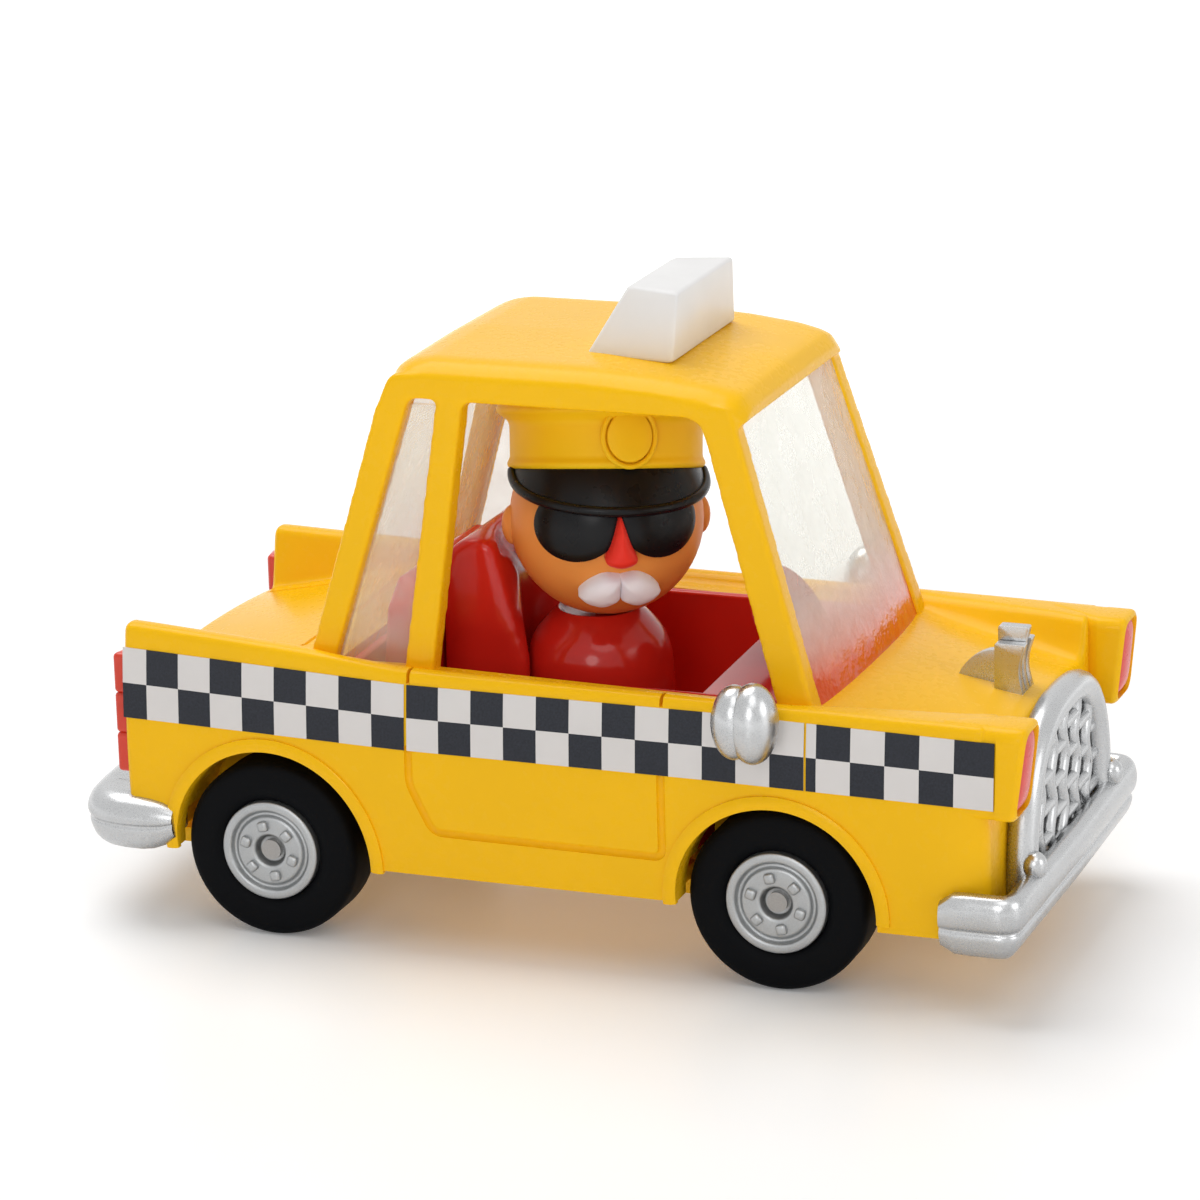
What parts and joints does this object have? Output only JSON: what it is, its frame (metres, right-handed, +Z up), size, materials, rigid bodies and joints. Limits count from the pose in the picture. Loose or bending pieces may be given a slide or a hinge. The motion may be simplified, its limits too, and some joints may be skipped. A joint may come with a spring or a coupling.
{
  "type": "toy taxi",
  "caption": "Palm-size cast toy taxi with free-rolling wheels, tail fins, chequer band, roof sign and a capped driver whose head turns.",
  "frame": {"origin": "on the ground under the middle of the overall length and width", "axes": "+X forward, +Y to the left of the car, +Z up"},
  "size_m": [0.1, 0.0556, 0.0647],
  "materials": {
    "yellow_paint": "gloss enamel",
    "clear_glazing": "clear moulded plastic",
    "red_plastic": "gloss moulded",
    "yellow_plastic": "satin moulded",
    "steel": "drawn pin",
    "silver_trim": "satin silver plating",
    "lamp_lens": "gloss tinted",
    "tail_lens": "gloss tinted",
    "white_plastic": "satin moulded",
    "chequer_film": "printed film",
    "skin_plastic": "soft sheen",
    "black_plastic": "gloss moulded",
    "hub_silver": "silver paint",
    "tyre_rubber": "matte"
  },
  "bodies": {
    "car": {"body_shell": "yellow_paint", "cabin_frame": "yellow_paint", "window_glass": "clear_glazing", "interior_tub": "red_plastic", "front_seat": "red_plastic", "rear_seat": "red_plastic", "steering_wheel": "red_plastic", "driver_torso": "red_plastic", "base_plate": "yellow_plastic", "base_screws": "steel", "front_bumper": "silver_trim", "rear_bumper": "silver_trim", "grille": "silver_trim", "hood_ornament": "silver_trim", "mirror_right": "silver_trim", "mirror_left": "silver_trim", "headlamp_right": "lamp_lens", "headlamp_left": "lamp_lens", "tail_lamp_right": "tail_lens", "tail_lamp_left": "tail_lens", "roof_sign": "white_plastic", "band_rear_right": "chequer_film", "band_rear_left": "chequer_film", "band_door_right": "chequer_film", "band_door_left": "chequer_film", "band_front_right": "chequer_film", "band_front_left": "chequer_film"},
    "front_wheels": {"front_axle": "steel", "hub_front_right": "hub_silver", "hub_front_left": "hub_silver", "tyre_front_right": "tyre_rubber", "tyre_front_left": "tyre_rubber"},
    "rear_wheels": {"rear_axle": "steel", "hub_rear_right": "hub_silver", "hub_rear_left": "hub_silver", "tyre_rear_right": "tyre_rubber", "tyre_rear_left": "tyre_rubber"},
    "driver_head": {"head": "skin_plastic", "cap": "yellow_plastic", "visor": "black_plastic", "sunglasses": "black_plastic", "nose": "red_plastic", "moustache": "white_plastic"}
  },
  "joints": [
    {"name": "front_axle_spin", "type": "hinge", "parent": "car", "child": "front_wheels", "pos_m": [0.0238, 0, 0.0089], "axis": [0, 1, 0], "continuous": true},
    {"name": "rear_axle_spin", "type": "hinge", "parent": "car", "child": "rear_wheels", "pos_m": [-0.0282, 0, 0.0089], "axis": [0, 1, 0], "continuous": true},
    {"name": "head_turn", "type": "hinge", "parent": "car", "child": "driver_head", "pos_m": [0.0003, 0, 0.0396], "axis": [0, 0, 1], "range_deg": [-28, 152]}
  ]
}
